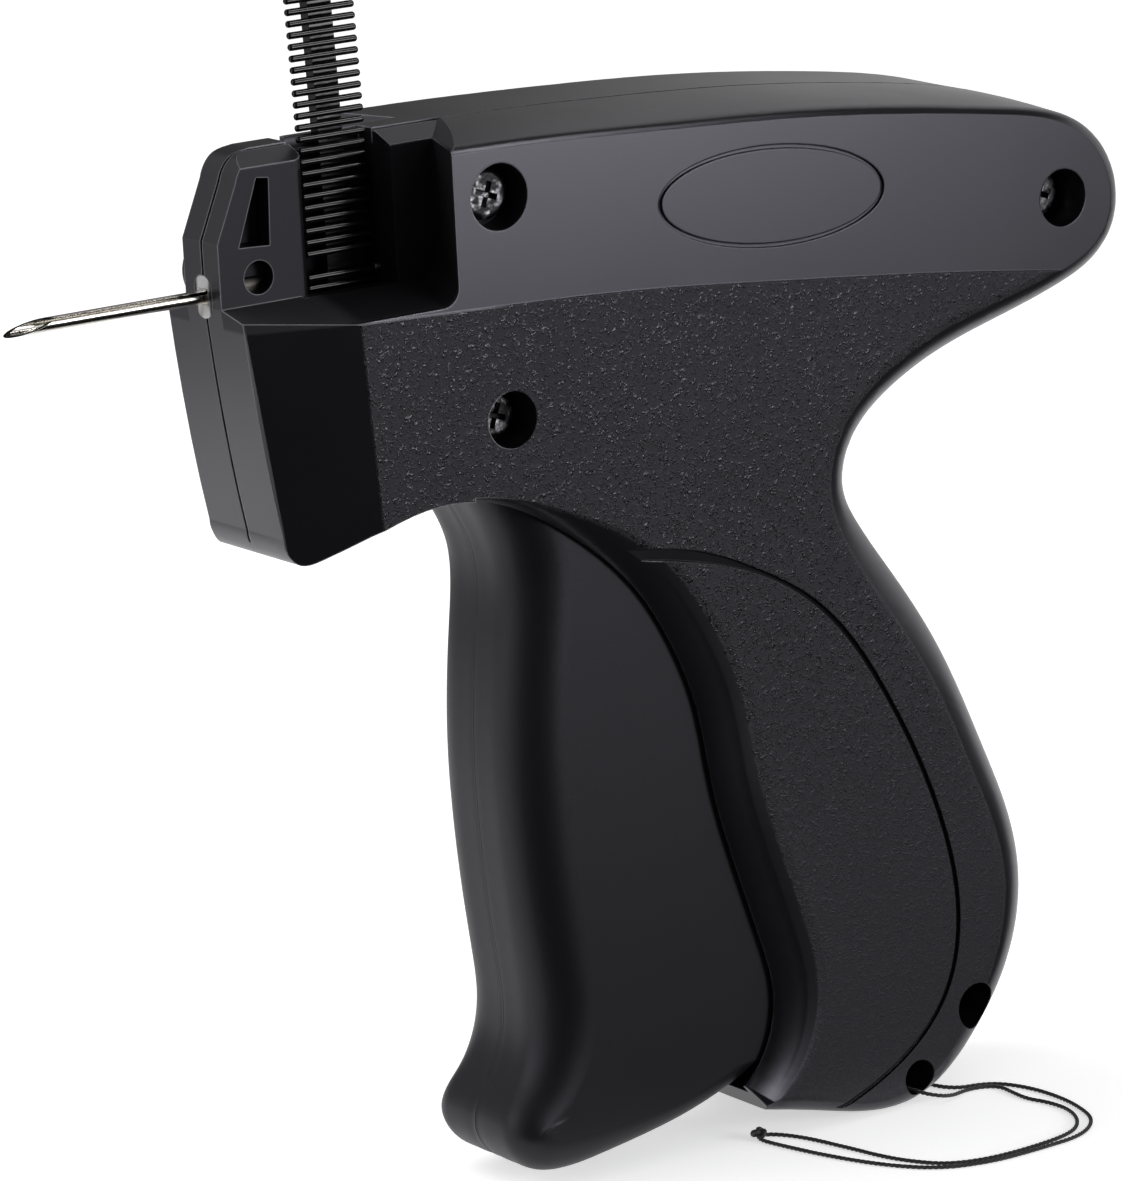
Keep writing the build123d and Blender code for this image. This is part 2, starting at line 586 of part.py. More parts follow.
# ---- feed ----
def feed_wheel():
    tooth = Polyline((wheel_tip_radius - tooth_height - 0.2, -0.42), (wheel_tip_radius, -0.16),
                     (wheel_tip_radius, 0.16), (wheel_tip_radius - tooth_height - 0.2, 0.42), close=True)
    outline = Circle(wheel_tip_radius - tooth_height)
    for n in range(wheel_teeth):
        outline += Rot(0, 0, 180 + 360 * n / wheel_teeth) * make_face(tooth)
    outline -= Circle(axle_radius + running_clearance)
    place = Plane(origin=(tbar_x - wheel_width / 2, wheel_y, wheel_z), x_dir=(0, 1, 0), z_dir=(1, 0, 0))
    return extrude(place * outline, wheel_width)


def feed_wheel_axle():
    return cylinder_x(wheel_y, wheel_z, axle_radius, lower_cavity_front_x - 1.5, axle_rib_x + axle_rib + 0.4)


def pawl_root(grow=0.0):
    return box_between(22.4 - grow, 25.6 + grow, 7.6 - grow, trigger_half_width + 1, -15.6 - grow, -13.4 + grow)


def feed_pawl():
    root = pawl_root() & box_between(0, 60, 0, trigger_half_width, -60, 0)
    arm = box_between(tbar_x + 0.3, 23, wheel_y + wheel_tip_radius + 0.25, trigger_half_width, -15.4, -13.6)
    return root + arm


def stop_pawl():
    z = wheel_z - wheel_tip_radius - 0.25
    inner_face = half_width - side_wall
    return box_between(tbar_x - 1.8, tbar_x - 0.4, wheel_y - 1.0, inner_face, z - 0.4, z)


# ---- fasteners and pins ----
def screw(x, z, recess, boss, depth):
    seat = depth - half_width
    head_radius = min(recess - 0.55, 2.8)
    head = cylinder_y(x, z, head_radius, seat - screw_head_height, seat)
    head = fillet(head.edges().filter_by(GeomType.CIRCLE).sort_by(Axis.Y)[:1], 0.7)
    for turn in (0, 90):
        head -= Pos(x, seat - screw_head_height, z) * Rot(0, turn + 20, 0) * Box(2.8, 2.0, 0.6)
    return head + cylinder_y(x, z, screw_radius, seat, half_width - 4)


def housing_screws():
    return Compound([screw(*place).solid() for place in screws.values()])


def pin(place, radius, half_length):
    body = cylinder_y(*place, radius, -half_length, half_length)
    return chamfer(body.edges().filter_by(GeomType.CIRCLE), 0.2)


# ---- lanyard ----
# out of the near end of the eye, round on the floor to the knot, back beside itself and under the heel
# into the far end of the eye
cord_z = floor_z + cord_radius + 0.02
eye_rest_z = eye_z - eye_radius + cord_radius
cord_route = [
    (eye_x, -6.5, eye_rest_z), (eye_x, -11.4, eye_rest_z), (82.0, -13.6, -103.0), (84.4, -13.0, -103.6),
    (86.9, -11.7, cord_z), (89.2, -11.9, cord_z), (90.9, -13.2, cord_z), (90.6, -16.0, cord_z),
    (90.3, -18.9, cord_z), (91.3, -21.6, cord_z), (91.4, -25.4, cord_z), (89.5, -29.4, cord_z),
    (86.2, -32.0, cord_z), (80.4, -32.8, cord_z), (74.2, -32.7, cord_z), (69.2, -30.9, cord_z),
    (66.2, -25.4, cord_z), (65.0, -19.0, cord_z), (63.4, -11.8, cord_z), (61.0, -8.3, cord_z),
    (59.3, -9.3, cord_z), (60.0, -13.2, cord_z), (61.6, -19.6, cord_z), (64.2, -26.4, cord_z),
    (68.0, -31.6, cord_z), (74.0, -33.7, cord_z), (80.6, -33.7, cord_z), (86.6, -33.4, cord_z),
    (91.0, -30.2, cord_z), (92.8, -25.4, cord_z), (93.4, -20.6, cord_z), (93.1, -16.4, cord_z),
    (91.8, -12.7, cord_z), (89.6, -11.1, cord_z), (87.2, -10.6, cord_z), (85.6, -8.4, cord_z),
    (85.2, -3.0, cord_z), (85.4, 4.0, cord_z), (85.0, 10.0, cord_z), (84.2, 13.0, -103.6), (82.2, 13.7, -103.0),
    (eye_x, 11.4, eye_rest_z), (eye_x, 6.5, eye_rest_z),
]
knot_place = (59.8, -9.3, floor_z + 0.85)


def cord_radii(route):
    radii = []
    for before, here, after in zip(route, route[1:], route[2:]):
        into = Vector(*here) - Vector(*before)
        out = Vector(*after) - Vector(*here)
        turn = into.get_angle(out)
        shorter = min(into.length, out.length)
        radii.append(0.45 * shorter / math.tan(math.radians(turn / 2)))
    return radii


def lanyard_cord():
    radii = cord_radii(cord_route)
    print("cord radii", [round(radius, 1) for radius in radii])
    path = FilletPolyline(*cord_route, radius=radii)
    tube = sweep(Plane(origin=path @ 0, z_dir=path % 0) * Circle(cord_radius), path=path)
    print("cord length", round(path.length, 1), "volume", round(tube.volume, 2),
          "section times length", round(math.pi * cord_radius ** 2 * path.length, 2))
    return tube


def lanyard_knot():
    return Pos(*knot_place) * Sphere(0.8)


# ---- write every node ----
nodes = {
    "left_housing": left_housing,
    "right_housing": right_housing,
    "trigger": trigger,
    "trigger_spring": trigger_spring,
    "drive_lever": drive_lever,
    "lever_pivot_pin": lambda: pin(lever_pivot, lever_pin_radius, half_width - 1.4),
    "lever_drive_pin": lambda: pin(drive_pin, drive_pin_radius, slider_half_width - 0.2),
    "lever_crank_pin": lambda: pin(crank_pin, crank_pin_radius, web_inner_y + web_thickness),
    "slider": slider,
    "ejector_rod": ejector_rod,
    "chambered_fastener": lambda: tbar(0, with_neck=False),
    "needle": needle,
    "needle_base": needle_base,
    "needle_lock_knob": needle_lock_knob,
    "cutter_blade": cutter_blade,
    "fastener_tbars": fastener_tbars,
    "fastener_runner": fastener_runner,
    "feed_wheel": feed_wheel,
    "feed_wheel_axle": feed_wheel_axle,
    "feed_pawl": feed_pawl,
    "stop_pawl": stop_pawl,
    "housing_screws": housing_screws,
    "lanyard_cord": lanyard_cord,
    "lanyard_knot": lanyard_knot,
}
os.makedirs("parts", exist_ok=True)
print("stroke", round(stroke, 3), "lever ratio", round(lever_ratio, 4), "crank arm", round(crank_arm, 3),
      "wheel turn", round(math.degrees(tbar_pitch / wheel_pitch_radius), 3), "wheel y", round(wheel_y, 4))
for name, make in nodes.items():
    export_step(make(), f"parts/{name}.step")
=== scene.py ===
"""Looks of a garment tag attacher: the camera, the lanyard, the return spring, the finishes and the studio."""
import math

import bmesh
import bpy
from mathutils import Matrix, Vector


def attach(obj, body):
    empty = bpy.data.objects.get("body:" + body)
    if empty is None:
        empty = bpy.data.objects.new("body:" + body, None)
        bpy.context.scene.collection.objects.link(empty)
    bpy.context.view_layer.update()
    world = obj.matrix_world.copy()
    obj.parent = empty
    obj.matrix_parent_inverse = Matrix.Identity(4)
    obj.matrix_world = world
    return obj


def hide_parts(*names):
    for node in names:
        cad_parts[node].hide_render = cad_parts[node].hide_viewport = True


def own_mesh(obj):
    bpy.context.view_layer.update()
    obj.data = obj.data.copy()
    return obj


MM = 0.001
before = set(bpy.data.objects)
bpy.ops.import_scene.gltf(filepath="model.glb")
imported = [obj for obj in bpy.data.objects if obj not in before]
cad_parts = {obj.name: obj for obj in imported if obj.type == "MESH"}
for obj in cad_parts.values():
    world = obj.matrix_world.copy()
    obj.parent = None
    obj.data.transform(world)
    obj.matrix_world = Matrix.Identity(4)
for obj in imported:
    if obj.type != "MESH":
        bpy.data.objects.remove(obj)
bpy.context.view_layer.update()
scene = bpy.context.scene
scene.view_settings.view_transform = "Standard"

FLOOR_Z = -104.2 * MM
HALF_WIDTH = 12.0            # middle plane to a side face, mm
SMOOTH_HALF_WIDTH = 11.8     # middle plane to the smooth upper side, mm


# ---- camera ----
IMAGE_HEIGHT = 1181
FOCAL_PIXELS = 6500
CAMERA_PLACE = (-0.344, -0.574, 0.1269)
CAMERA_AZIMUTH, CAMERA_ELEVATION, CAMERA_ROLL = -34.0, 13.5, -3.0


def make_camera():
    data = bpy.data.cameras.new("camera")
    data.sensor_width = 36
    data.lens = data.sensor_width * FOCAL_PIXELS / IMAGE_HEIGHT
    data.clip_start = 0.01
    camera = bpy.data.objects.new("camera", data)
    scene.collection.objects.link(camera)
    turn = (Matrix.Rotation(math.radians(CAMERA_AZIMUTH), 4, "Z")
            @ Matrix.Rotation(math.radians(90 - CAMERA_ELEVATION), 4, "X")
            @ Matrix.Rotation(math.radians(CAMERA_ROLL), 4, "Z"))
    camera.matrix_world = Matrix.Translation(CAMERA_PLACE) @ turn
    scene.camera = camera


make_camera()


# ---- lanyard ----
CORD_RADIUS = 0.25 * MM
EYE_X, EYE_REST_Z = 80.6, -102.75    # the route is in mm
CORD_Z = -103.93
CORD_ROUTE = [
    (EYE_X, -6.5, EYE_REST_Z), (EYE_X, -11.4, EYE_REST_Z), (82.0, -13.6, -103.0), (84.4, -13.0, -103.6),
    (86.9, -11.7, CORD_Z), (89.2, -11.9, CORD_Z), (90.9, -13.2, CORD_Z), (90.6, -16.0, CORD_Z),
    (90.3, -18.9, CORD_Z), (91.3, -21.6, CORD_Z), (91.4, -25.4, CORD_Z), (89.5, -29.4, CORD_Z),
    (86.2, -32.0, CORD_Z), (80.4, -32.8, CORD_Z), (74.2, -32.7, CORD_Z), (69.2, -30.9, CORD_Z),
    (66.2, -25.4, CORD_Z), (65.0, -19.0, CORD_Z), (63.4, -11.8, CORD_Z), (61.0, -8.3, CORD_Z),
    (59.3, -9.3, CORD_Z), (60.0, -13.2, CORD_Z), (61.6, -19.6, CORD_Z), (64.2, -26.4, CORD_Z),
    (68.0, -31.6, CORD_Z), (74.0, -33.7, CORD_Z), (80.6, -33.7, CORD_Z), (86.6, -33.4, CORD_Z),
    (91.0, -30.2, CORD_Z), (92.8, -25.4, CORD_Z), (93.4, -20.6, CORD_Z), (93.1, -16.4, CORD_Z),
    (91.8, -12.7, CORD_Z), (89.6, -11.1, CORD_Z), (87.2, -10.6, CORD_Z), (85.6, -8.4, CORD_Z),
    (85.2, -3.0, CORD_Z), (85.4, 4.0, CORD_Z), (85.0, 10.0, CORD_Z), (84.2, 13.0, -103.6),
    (82.2, 13.7, -103.0), (EYE_X, 11.4, EYE_REST_Z), (EYE_X, 6.5, EYE_REST_Z),
]
STRANDS = 3
STRAND_RADIUS = CORD_RADIUS * 0.5
STRAND_PITCH = 1.9 * MM      # cord length of one twist
POINTS_PER_PITCH = 10
KNOT_PLACE = Vector((59.8, -9.3, -103.35)) * MM
KNOT_SIZE = 0.27 * MM
KNOT_HEIGHT = 1.2            # in knot sizes
KNOT_STEP = 12               # degrees of its closed line between two points


def new_curve(name, depth, sides):
    data = bpy.data.curves.new(name, "CURVE")
    data.dimensions = "3D"
    data.bevel_depth = depth
    data.bevel_resolution = sides
    data.use_fill_caps = True
    return data


def add_run(data, points, kind="POLY", closed=False):
    run = data.splines.new(kind)
    run.points.add(len(points) - 1)
    for spot, point in zip(run.points, points):
        spot.co = (*point, 1)
    run.use_cyclic_u = closed
    return run


def new_object(name, data):
    piece = bpy.data.objects.new(name, data)
    scene.collection.objects.link(piece)
    return piece


def curve_mesh(data, name):
    """the curve's mesh, without the curve"""
    holder = bpy.data.objects.new(name, data)
    mesh = bpy.data.meshes.new_from_object(holder)
    bpy.data.objects.remove(holder)
    return mesh


def shade_smooth(piece):
    """round-looking faces for a piece that is a tube"""
    for face in piece.data.polygons:
        face.use_smooth = True


def smooth_route():
    """points of the cord's own NURBS line"""
    data = new_curve("lanyard_route", 0, 0)
    data.resolution_u = 24
    run = add_run(data, [Vector(point) * MM for point in CORD_ROUTE], "NURBS")
    run.order_u = 3
    run.use_endpoint_u = True
    return [point.co.copy() for point in curve_mesh(data, "lanyard_route").vertices]


def even_points(points, step):
    """points a step apart along a line"""
    spots, left_over = [points[0]], 0.0
    for before, after in zip(points, points[1:]):
        length = (after - before).length
        if length == 0:
            continue
        reach = step - left_over
        while reach <= length:
            spots.append(before.lerp(after, reach / length))
            reach += step
        left_over = length - (reach - step)
    return spots


def twisted_strands(line):
    """three strands laid round a line of even points"""
    data = new_curve("lanyard_strands", STRAND_RADIUS, 1)
    for strand in range(STRANDS):
        points = []
        for i, point in enumerate(line):
            along = line[min(i + 1, len(line) - 1)] - line[max(i - 1, 0)]
            side = along.cross(Vector((0, 0, 1))).normalized()
            up = side.cross(along).normalized()
            angle = 2 * math.pi * (i / POINTS_PER_PITCH + strand / STRANDS)
            points.append(point + STRAND_RADIUS * (math.cos(angle) * side + math.sin(angle) * up))
        add_run(data, points)
    return data


def overhand_loop():
    """the closed three-lobed line of a tight overhand knot"""
    loop = []
    for angle in range(0, 360, KNOT_STEP):
        t = math.radians(angle)
        turn = Vector((math.sin(t) + 2 * math.sin(2 * t), math.cos(t) - 2 * math.cos(2 * t),
                       -KNOT_HEIGHT * math.sin(3 * t)))
        loop.append(KNOT_PLACE + KNOT_SIZE * turn)
    data = new_curve("lanyard_knot_loop", CORD_RADIUS, 2)
    add_run(data, loop, closed=True)
    return data


def make_lanyard():
    """the twisted cord, and the knot where its two ends meet"""
    route = smooth_route()
    line = even_points(route, STRAND_PITCH / POINTS_PER_PITCH)
    cord = new_object("lanyard_twisted_cord", curve_mesh(twisted_strands(line), "lanyard_strands"))
    knot = new_object("lanyard_overhand_knot", curve_mesh(overhand_loop(), "lanyard_knot_loop"))
    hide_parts("lanyard_cord")
    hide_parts("lanyard_knot")
    for piece in (cord, knot):
        shade_smooth(piece)
        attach(piece, "casing")
    return cord, knot


cord, knot = make_lanyard()


# ---- return spring ----
SPRING_X, SPRING_Y = 45.0, 6.0    # its sizes and place in mm
SPRING_BOTTOM, SPRING_TOP = -19.0, -7.0
SPRING_RADIUS, SPRING_WIRE, SPRING_TURNS = 2.0, 0.35, 7
SPRING_POINTS_PER_TURN = 24


def make_spring():
    """the coil between the trigger and the slider's rail, one fixed mesh on the casing; the real one shortens
    as the trigger is squeezed
    """
    steps = SPRING_TURNS * SPRING_POINTS_PER_TURN
    points = []
    for i in range(steps + 1):
        turn = 2 * math.pi * SPRING_TURNS * i / steps
        points.append(Vector((SPRING_X + SPRING_RADIUS * math.cos(turn),
                              SPRING_Y + SPRING_RADIUS * math.sin(turn),
                              SPRING_BOTTOM + (SPRING_TOP - SPRING_BOTTOM) * i / steps)) * MM)
    data = new_curve("spring_line", SPRING_WIRE * MM, 2)
    add_run(data, points)
    coil = new_object("trigger_return_coil", curve_mesh(data, "spring_line"))
    shade_smooth(coil)
    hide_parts("trigger_spring")
    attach(coil, "casing")
    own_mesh(coil)
    return coil


coil = make_spring()


# ---- materials ----
COOL = (0.88, 0.86, 1.0, 1.0)    # the faint blue of black plastic's sheen
HOUSING_BLACK = "#0f0f11"
OXIDE_BLACK = "#1d1d1f"

# settings of the nodes that come back again and again
TIMES = {"operation": "MULTIPLY"}
TIMES_PLUS = {"operation": "MULTIPLY_ADD"}
MINUS = {"operation": "SUBTRACT"}
WITHOUT_SIGN = {"operation": "ABSOLUTE"}
LARGER = {"operation": "MAXIMUM"}
SMOOTH = {"interpolation_type": "SMOOTHSTEP"}
TWO_COLOURS = {"data_type": "RGBA"}
EDGE_SAMPLES = {"samples": 6}

# where the housing's skin changes, in mm: a mask is 0 at the first value and 1 at the second;
# WIDE is the distance from the middle plane
GRAINED_WIDE = (SMOOTH_HALF_WIDTH + 0.04, HALF_WIDTH - 0.05)
UNWORN_REAR_X = (108, 96)
DEEP_GRAIN_Z = (-95, -35)
RECESS_WIDE, RECESS_X = (11.6, 11.0), (28.5, 27.6)
RECESS_BOTTOM_Z, RECESS_TOP_Z = (-3.4, -2.8), (13.6, 13.2)
OFF_NOSE_WIDE, OFF_NOSE_X = (3.3, 3.45), (10.0, 11.3)
DULL_RECESS_X = (10.5, 13.0)
WINDOW_WIDE = (3.47, 3.35)
WINDOW_FRONT_X, WINDOW_REAR_X = (2.7, 3.1), (11.3, 10.9)
WINDOW_BOTTOM_Z, WINDOW_TOP_Z = (-1.4, -0.9), (12.6, 12.2)
GROOVE_OUTER_WIDE, GROOVE_INNER_WIDE, GROOVE_Z = (11.68, 11.58), (11.3, 11.4), (-20, -25)
# x over which the painted edge highlight of the nose fades out
EDGE_HIGHLIGHT_NOSE_X = (31, 28)


def linear(hex_colour):
    """sRGB hex to the linear colour that a shader reads"""
    parts = [int(hex_colour[i:i + 2], 16) / 255 for i in (1, 3, 5)]
    return tuple(c / 12.92 if c <= 0.04045 else ((c + 0.055) / 1.055) ** 2.4 for c in parts) + (1.0,)


def mm(*lengths):
    """lengths in millimetres as the metres that a shader reads"""
    return [length * MM for length in lengths]


def per_mm(size_mm):
    """texture scale for a pattern whose cell is that many millimetres"""
    return 1 / (size_mm * MM)


class Nodes:
    """a node tree, and the one function that adds a node to it"""

    def __init__(self, tree):
        self.tree = tree

    def fill(self, node, *values, **sockets):
        """give inputs a value or a link, in their order or by name: _ stands for a space, and _6 is input 6"""
        named = {f"_{i}": value for i, value in enumerate(values)} | sockets
        for name, value in named.items():
            socket = node.inputs[int(name[1:]) if name[1:].isdigit() else name.replace("_", " ")]
            if isinstance(value, bpy.types.NodeSocket):
                self.tree.links.new(value, socket)
            else:
                socket.default_value = value

    def add(self, kind, settings=None, *values, output=0, **sockets):
        """add a node with its settings and links, and give back one of its outputs"""
        node = self.tree.nodes.new("ShaderNode" + kind)
        for name, value in (settings or {}).items():
            setattr(node, name, value)
        self.fill(node, *values, **sockets)
        return node.outputs[output]

    def all_of(self, first, *others):
        """1 only where every mask is 1"""
        for mask in others:
            first = self.add("Math", TIMES, first, mask)
        return first


class Finish(Nodes):
    """a material in the making"""

    def __init__(self, name, hex_colour, **sockets):
        self.material = bpy.data.materials.new(name)
        self.material.use_nodes = True
        super().__init__(self.material.node_tree)
        self.shader = self.tree.nodes["Principled BSDF"]
        self.fill(self.shader, Base_Color=linear(hex_colour), **sockets)
        self.place = self.add("TexCoord", output="Object")

    def stretched(self, x, y=1, z=1):
        """the place for a pattern that is that many times longer each way"""
        return self.add("Mapping", Vector=self.place, Scale=(1 / x, 1 / y, 1 / z))

    def edge_amount(self, softened, low, high):
        """0 on a face, rising over its rounded edges, where the softened normal leaves the true one"""
        true_normal = self.add("NewGeometry", output="Normal")
        same = self.add("VectorMath", {"operation": "DOT_PRODUCT"}, softened, true_normal, output="Value")
        return self.add("MapRange", SMOOTH, same, low, high)


def eroded_tops(f, depth):
    """the short bright worm-like tops that spark erosion leaves, about 0.7 mm apart"""
    lumps = f.add("TexNoise", None, f.place, Scale=per_mm(0.7), Detail=1.5, Roughness=0.4, Distortion=0.8)
    off_middle = f.add("Math", WITHOUT_SIGN, f.add("Math", MINUS, lumps, 0.5))
    ridges = f.add("MapRange", SMOOTH, off_middle, 0.015, 0.068, 1.0, 0.0)
    lengths = f.add("TexNoise", None, f.place, Scale=per_mm(1.0), Detail=1.0)
    return f.all_of(ridges, f.add("MapRange", SMOOTH, lengths, 0.36, 0.5), depth)


def recess_mask(f, x, width, z):
    """the hollow in the side in which the strip stands"""
    return f.all_of(f.add("MapRange", SMOOTH, width, *mm(*RECESS_WIDE)),
                    f.add("MapRange", SMOOTH, x, *mm(*RECESS_X)),
                    f.add("MapRange", SMOOTH, z, *mm(*RECESS_BOTTOM_Z)),
                    f.add("MapRange", SMOOTH, z, *mm(*RECESS_TOP_Z)))


def window_mask(f, x, width, z):
    """the deep walls behind the openings in the nose"""
    return f.all_of(f.add("MapRange", SMOOTH, x, *mm(*WINDOW_FRONT_X)),
                    f.add("MapRange", SMOOTH, z, *mm(*WINDOW_TOP_Z)),
                    f.add("MapRange", SMOOTH, width, *mm(*WINDOW_WIDE)),
                    f.add("MapRange", SMOOTH, x, *mm(*WINDOW_REAR_X)),
                    f.add("MapRange", SMOOTH, z, *mm(*WINDOW_BOTTOM_Z)))


def groove_mask(f, width, z):
    """the bottom of the groove along the handle's panel, which faces sideways"""
    true_normal = f.add("NewGeometry", output="Normal")
    sideways = f.add("Math", WITHOUT_SIGN, f.add("SeparateXYZ", None, true_normal, output="Y"))
    return f.all_of(f.add("MapRange", SMOOTH, sideways, 0.95, 0.98),
                    f.add("MapRange", SMOOTH, width, *mm(*GROOVE_OUTER_WIDE)),
                    f.add("MapRange", SMOOTH, width, *mm(*GROOVE_INNER_WIDE)),
                    f.add("MapRange", SMOOTH, z, *mm(*GROOVE_Z)))


def grained_abs():
    """black ABS from a mould that is spark-eroded on the lower sides and stone-polished above: the eroded
    skin is matt with short bright tops, the polished one mirrors a soft lamp, the strip's recess is dull"""
    f = Finish("abs_moulded_grained", HOUSING_BLACK, IOR=1.53, Specular_Tint=COOL)
    x, y, z = f.add("SeparateXYZ", None, f.place).node.outputs
    width = f.add("Math", WITHOUT_SIGN, y)
    grained = f.add("MapRange", SMOOTH, width, *mm(*GRAINED_WIDE))
    depth = f.all_of(f.add("MapRange", SMOOTH, x, *mm(*UNWORN_REAR_X), 0.15, 1.0),
                     f.add("MapRange", SMOOTH, z, *mm(*DEEP_GRAIN_Z), 0.35, 1.0), grained)
    tops = eroded_tops(f, depth)      # depth: the grain is shallow at the handled rear and down at the foot
    fine = f.add("Math", TIMES, f.add("TexNoise", None, f.place, Scale=per_mm(0.3), Detail=1.0), 0.8)
    relief = f.add("Math", TIMES_PLUS, tops, 0.6, f.add("Math", TIMES, depth, fine))
    softened = f.add("Bevel", EDGE_SAMPLES, 0.22 * MM)

    recess = recess_mask(f, x, width, z)
    off_nose = f.add("Math", LARGER, f.add("MapRange", SMOOTH, width, *mm(*OFF_NOSE_WIDE)),
                     f.add("MapRange", SMOOTH, x, *mm(*OFF_NOSE_X)))
    dull_recess = f.all_of(recess, f.add("MapRange", SMOOTH, x, *mm(*DULL_RECESS_X)))
    dark_hollows = f.add("Math", LARGER, window_mask(f, x, width, z), groove_mask(f, width, z))
    dull = f.add("Math", LARGER, dark_hollows, dull_recess)

    cloudy = f.add("TexNoise", None, f.place, Scale=per_mm(14), Detail=3.0)
    roughness = f.add("Math", TIMES_PLUS, cloudy, 0.08, 0.27)          # polished skin: 0.27 to 0.35
    roughness = f.add("Math", TIMES_PLUS, grained, 0.35, roughness)    # eroded skin
    roughness = f.add("Math", TIMES_PLUS, tops, -0.42, roughness)      # its bright tops
    roughness = f.add("Math", TIMES_PLUS, f.all_of(recess, off_nose), 0.4, roughness)    # recess walls
    edges = f.edge_amount(softened, 0.999, 0.93)
    roughness = f.add("Math", TIMES_PLUS, edges, -0.08, roughness)     # rubbed edges
    gloss = f.add("Math", TIMES_PLUS, dull, -0.4, f.add("Math", TIMES_PLUS, grained, -0.09, 0.5))

    not_dull = f.add("Math", MINUS, 1.0, dull)
    # painted highlight: the rounded edges of the nose and its recess are coloured light grey (#858489),
    # standing in for thin highlights that no lamp gives there
    painted_edge_highlight = f.all_of(f.edge_amount(softened, 0.985, 0.9),
                    f.add("MapRange", SMOOTH, x, *mm(*EDGE_HIGHLIGHT_NOSE_X)), not_dull)
    colour = f.add("Mix", TWO_COLOURS, painted_edge_highlight, _6=linear(HOUSING_BLACK), _7=linear("#858489"), output=2)
    normal = f.add("Bump", Height=relief, Distance=0.065 * MM, Normal=softened)
    f.fill(f.shader, Base_Color=colour, Roughness=roughness, Specular_IOR_Level=gloss, Normal=normal)
    return f.material


def satin_abs():
    """black ABS from a bead-blasted mould: an even low sheen, with the line of the mould's halves in front"""
    f = Finish("abs_moulded_satin", "#0e0e10", IOR=1.53, Specular_Tint=COOL, Specular_IOR_Level=0.3)
    width = f.add("Math", WITHOUT_SIGN, f.add("SeparateXYZ", None, f.place, output="Y"))
    mould_line = f.add("MapRange", SMOOTH, width, *mm(0.16, 0.05))
    blasted = f.add("TexNoise", None, f.place, Scale=per_mm(0.28), Detail=1.0)
    cloudy = f.add("TexNoise", None, f.place, Scale=per_mm(18), Detail=3.0)
    normal = f.add("Bump", Height=f.add("Math", TIMES_PLUS, blasted, 0.12, mould_line), Distance=0.05 * MM,
                   Normal=f.add("Bevel", EDGE_SAMPLES, 0.25 * MM))
    f.fill(f.shader, Roughness=f.add("Math", TIMES_PLUS, cloudy, 0.1, 0.4), Normal=normal)
    return f.material


def bright_polypropylene():
    """black polypropylene from a polished mould: waxy gloss, with slight flow ripples"""
    f = Finish("polypropylene_moulded", "#050506", IOR=1.49, Specular_IOR_Level=0.3)
    ripples = f.add("TexNoise", None, f.stretched(3), Scale=per_mm(1.1))
    wavy = f.add("TexNoise", None, f.place, Scale=per_mm(2.5))
    normal = f.add("Bump", Height=ripples, Distance=0.02 * MM, Normal=f.add("Bevel", EDGE_SAMPLES, 0.08 * MM))
    f.fill(f.shader, Roughness=f.add("Math", TIMES_PLUS, wavy, 0.08, 0.1), Normal=normal)
    return f.material


def natural_acetal():
    """natural acetal, moulded and left unpainted: milky, slightly waxy, with faint machining swirls"""
    f = Finish("acetal_natural", "#dedcd4", IOR=1.48, Subsurface_Weight=0.15, Subsurface_Scale=0.8 * MM)
    cloudy = f.add("TexNoise", None, f.place, Scale=per_mm(3.0), Detail=3.0)
    swirls = f.add("TexNoise", None, f.stretched(4), Scale=per_mm(0.5))
    normal = f.add("Bump", Height=swirls, Distance=0.01 * MM, Normal=f.add("Bevel", EDGE_SAMPLES, 0.15 * MM))
    f.fill(f.shader, Roughness=f.add("Math", TIMES_PLUS, cloudy, 0.15, 0.28), Normal=normal)
    return f.material


def black_acetal():
    """black acetal knob: smooth moulded skin with a soft gloss"""
    f = Finish("acetal_black", "#151517", IOR=1.48)
    cloudy = f.add("TexNoise", None, f.place, Scale=per_mm(2.0), Detail=3.0)
    skin = f.add("TexNoise", None, f.place, Scale=per_mm(0.6))
    normal = f.add("Bump", Height=skin, Distance=0.008 * MM, Normal=f.add("Bevel", EDGE_SAMPLES, 0.18 * MM))
    f.fill(f.shader, Roughness=f.add("Math", TIMES_PLUS, cloudy, 0.12, 0.26), Normal=normal)
    return f.material


def drawn_steel(name, hex_colour, smoothest, spread, edge_mm, shaded_sides=False):
    """steel with the long fine scratches that drawing or grinding leaves along X; its sides away from the
    middle plane can carry painted shade
    """
    f = Finish(name, hex_colour, Metallic=1.0)
    scratches = f.add("TexNoise", None, f.stretched(40), Scale=per_mm(0.12))
    stain = f.add("TexNoise", None, f.stretched(3), Scale=per_mm(3.5))
    colour = f.add("Mix", TWO_COLOURS, f.add("MapRange", SMOOTH, stain, 0.5, 0.75),
                   _6=linear(hex_colour), _7=linear("#8d857c"), output=2)
    if shaded_sides:
        # painted shade: from 0.9 to 1.4 mm off the middle plane the steel turns near black, standing for the
        # shade on the sides of parts deep in the casing, such as the needle base seen through the lock hole
        width = f.add("Math", WITHOUT_SIGN, f.add("SeparateXYZ", None, f.place, output="Y"))
        painted_side_shade = f.add("MapRange", SMOOTH, width, *mm(0.9, 1.4), 0.0, 0.93)
        colour = f.add("Mix", TWO_COLOURS, painted_side_shade, _6=colour, _7=linear("#1c1a18"), output=2)
    normal = f.add("Bump", Height=scratches, Distance=0.0015 * MM,
                   Normal=f.add("Bevel", EDGE_SAMPLES, edge_mm * MM))
    f.fill(f.shader, Base_Color=colour, Normal=normal,
           Roughness=f.add("Math", TIMES_PLUS, scratches, spread, smoothest))
    return f.material


